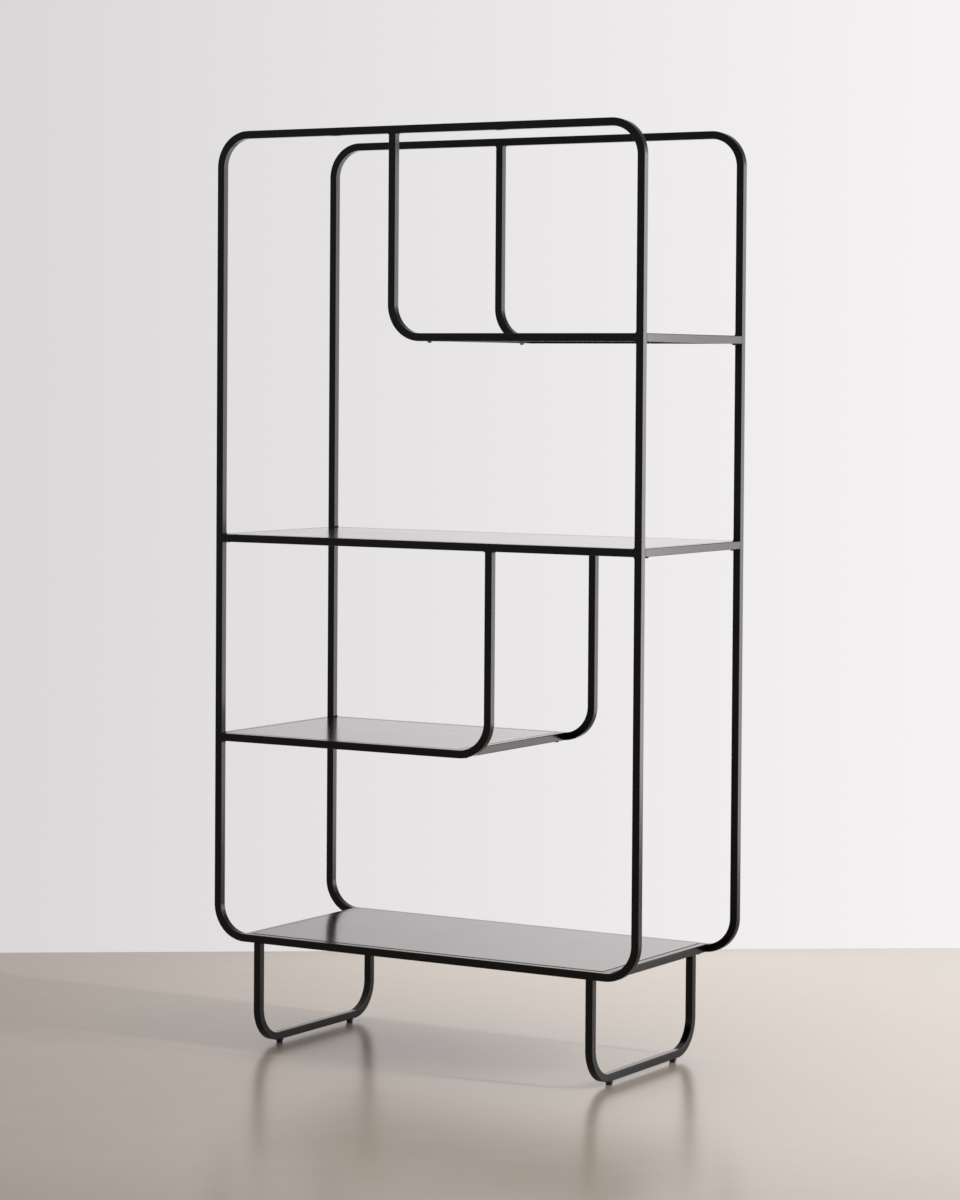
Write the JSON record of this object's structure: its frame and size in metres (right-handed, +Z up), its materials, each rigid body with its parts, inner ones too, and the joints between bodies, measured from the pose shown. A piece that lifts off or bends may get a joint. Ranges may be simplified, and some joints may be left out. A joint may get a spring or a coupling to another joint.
{
  "type": "display shelf",
  "caption": "Open display shelf: front and rear frames of bent black square tube with rounded corners, staggered sheet-steel shelves and sled legs.",
  "frame": {"origin": "on the floor, below the middle of the shelf", "axes": "+Z up, front towards -Y, +X to the right seen from the front"},
  "size_m": [1, 0.432, 1.886],
  "materials": {
    "tube_coat": "satin black powder coat on steel tube",
    "panel_coat": "smooth satin black powder coat on sheet steel, glossy at a low angle",
    "black_screw": "black oxide",
    "black_zinc": "black zinc plated, glossy",
    "pad_plastic": "moulded black plastic"
  },
  "bodies": {
    "shelf": {"front_outer_loop": "tube_coat", "front_middle_rail": "tube_coat", "front_top_shelf_tube": "tube_coat", "front_lower_shelf_tube": "tube_coat", "rear_outer_loop": "tube_coat", "rear_middle_rail": "tube_coat", "rear_top_shelf_tube": "tube_coat", "rear_lower_shelf_tube": "tube_coat", "bottom_shelf_cross_rail_left": "tube_coat", "bottom_shelf_cross_rail_right": "tube_coat", "bottom_shelf_panel": "panel_coat", "bottom_shelf_screw_front_left": "black_screw", "bottom_shelf_screw_front_right": "black_screw", "bottom_shelf_screw_rear_left": "black_screw", "bottom_shelf_screw_rear_right": "black_screw", "lower_shelf_cross_rail_left": "tube_coat", "lower_shelf_cross_rail_right": "tube_coat", "lower_shelf_panel": "panel_coat", "lower_shelf_screw_front_left": "black_screw", "lower_shelf_screw_front_right": "black_screw", "lower_shelf_screw_rear_left": "black_screw", "lower_shelf_screw_rear_right": "black_screw", "middle_shelf_cross_rail_left": "tube_coat", "middle_shelf_cross_rail_right": "tube_coat", "middle_shelf_panel": "panel_coat", "middle_shelf_screw_front_left": "black_screw", "middle_shelf_screw_front_right": "black_screw", "middle_shelf_screw_rear_left": "black_screw", "middle_shelf_screw_rear_right": "black_screw", "top_shelf_cross_rail_left": "tube_coat", "top_shelf_cross_rail_right": "tube_coat", "top_shelf_panel": "panel_coat", "top_shelf_screw_front_left": "black_screw", "top_shelf_screw_front_right": "black_screw", "top_shelf_screw_rear_left": "black_screw", "top_shelf_screw_rear_right": "black_screw", "bottom_shelf_stiffener": "panel_coat", "middle_shelf_stiffener": "panel_coat", "leg_left": "tube_coat", "leg_right": "tube_coat", "leg_screw_front_left": "black_screw", "foot_insert_front_left": "black_zinc", "leg_screw_front_right": "black_screw", "foot_insert_front_right": "black_zinc", "leg_screw_rear_left": "black_screw", "foot_insert_rear_left": "black_zinc", "leg_screw_rear_right": "black_screw", "foot_insert_rear_right": "black_zinc"},
    "pad_front_left": {"foot_pad_front_left": "pad_plastic"},
    "stud_front_left": {"foot_stud_front_left": "black_zinc"},
    "pad_front_right": {"foot_pad_front_right": "pad_plastic"},
    "stud_front_right": {"foot_stud_front_right": "black_zinc"},
    "pad_rear_left": {"foot_pad_rear_left": "pad_plastic"},
    "stud_rear_left": {"foot_stud_rear_left": "black_zinc"},
    "pad_rear_right": {"foot_pad_rear_right": "pad_plastic"},
    "stud_rear_right": {"foot_stud_rear_right": "black_zinc"}
  },
  "joints": [
    {"name": "foot_travel_front_left", "type": "slide", "parent": "shelf", "child": "pad_front_left", "axis": [0, 0, -1], "range_m": [0, 0.008]},
    {"name": "foot_turn_front_left", "type": "hinge", "parent": "pad_front_left", "child": "stud_front_left", "pos_m": [-0.392, -0.132, 0], "axis": [0, 0, -1], "range_deg": [0, 2880]},
    {"name": "foot_travel_front_right", "type": "slide", "parent": "shelf", "child": "pad_front_right", "axis": [0, 0, -1], "range_m": [0, 0.008]},
    {"name": "foot_turn_front_right", "type": "hinge", "parent": "pad_front_right", "child": "stud_front_right", "pos_m": [0.392, -0.132, 0], "axis": [0, 0, -1], "range_deg": [0, 2880]},
    {"name": "foot_travel_rear_left", "type": "slide", "parent": "shelf", "child": "pad_rear_left", "axis": [0, 0, -1], "range_m": [0, 0.008]},
    {"name": "foot_turn_rear_left", "type": "hinge", "parent": "pad_rear_left", "child": "stud_rear_left", "pos_m": [-0.392, 0.132, 0], "axis": [0, 0, -1], "range_deg": [0, 2880]},
    {"name": "foot_travel_rear_right", "type": "slide", "parent": "shelf", "child": "pad_rear_right", "axis": [0, 0, -1], "range_m": [0, 0.008]},
    {"name": "foot_turn_rear_right", "type": "hinge", "parent": "pad_rear_right", "child": "stud_rear_right", "pos_m": [0.392, 0.132, 0], "axis": [0, 0, -1], "range_deg": [0, 2880]}
  ],
  "couplings": [
    {"joint": "foot_travel_front_left", "follows": "foot_turn_front_left", "m_per_rad": 0.000159},
    {"joint": "foot_travel_front_right", "follows": "foot_turn_front_right", "m_per_rad": 0.000159},
    {"joint": "foot_travel_rear_left", "follows": "foot_turn_rear_left", "m_per_rad": 0.000159},
    {"joint": "foot_travel_rear_right", "follows": "foot_turn_rear_right", "m_per_rad": 0.000159}
  ]
}
